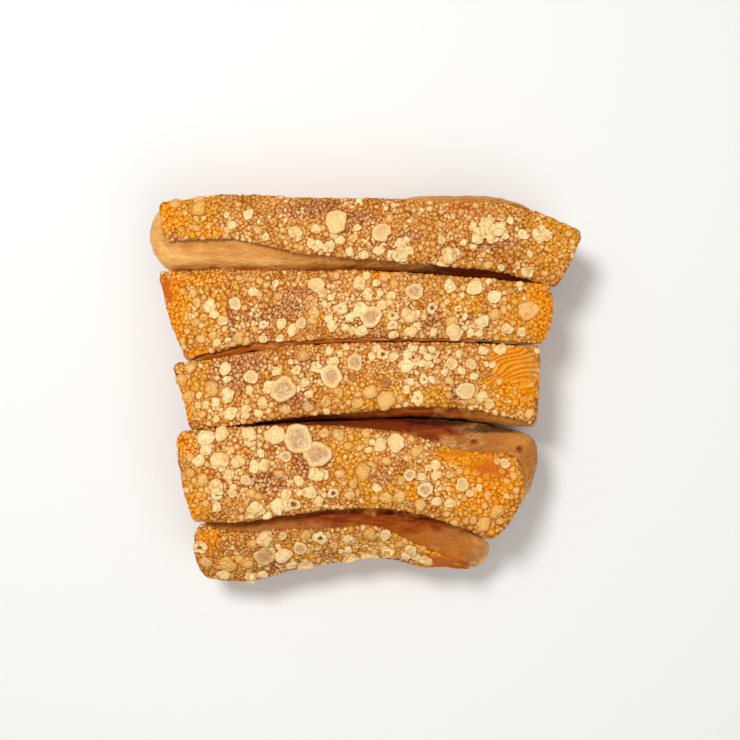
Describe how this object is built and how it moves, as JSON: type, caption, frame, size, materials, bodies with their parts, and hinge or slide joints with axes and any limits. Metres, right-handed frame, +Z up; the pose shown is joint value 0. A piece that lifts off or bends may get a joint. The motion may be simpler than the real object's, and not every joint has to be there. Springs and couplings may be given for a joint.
{
  "type": "roast pork belly",
  "caption": "Roast pork belly with blistered crackling, cut into strips that lie side by side and still keep the slab's shape.",
  "frame": {"origin": "on the surface the slab rests on, below the middle of its bounding box", "axes": "+X along the strips towards their right end, +Y across them towards the first strip, +Z up out of the crackling"},
  "size_m": [0.1528, 0.1384, 0.0415],
  "materials": {
    "crackling": "blistered, golden, slightly oily",
    "belly": "roasted fat and meat in layers, moist"
  },
  "bodies": {
    "root": {"strip_1": "crackling", "strip_2": "crackling", "strip_3": "crackling", "strip_4": "crackling", "strip_5": "crackling"}
  },
  "joints": []
}
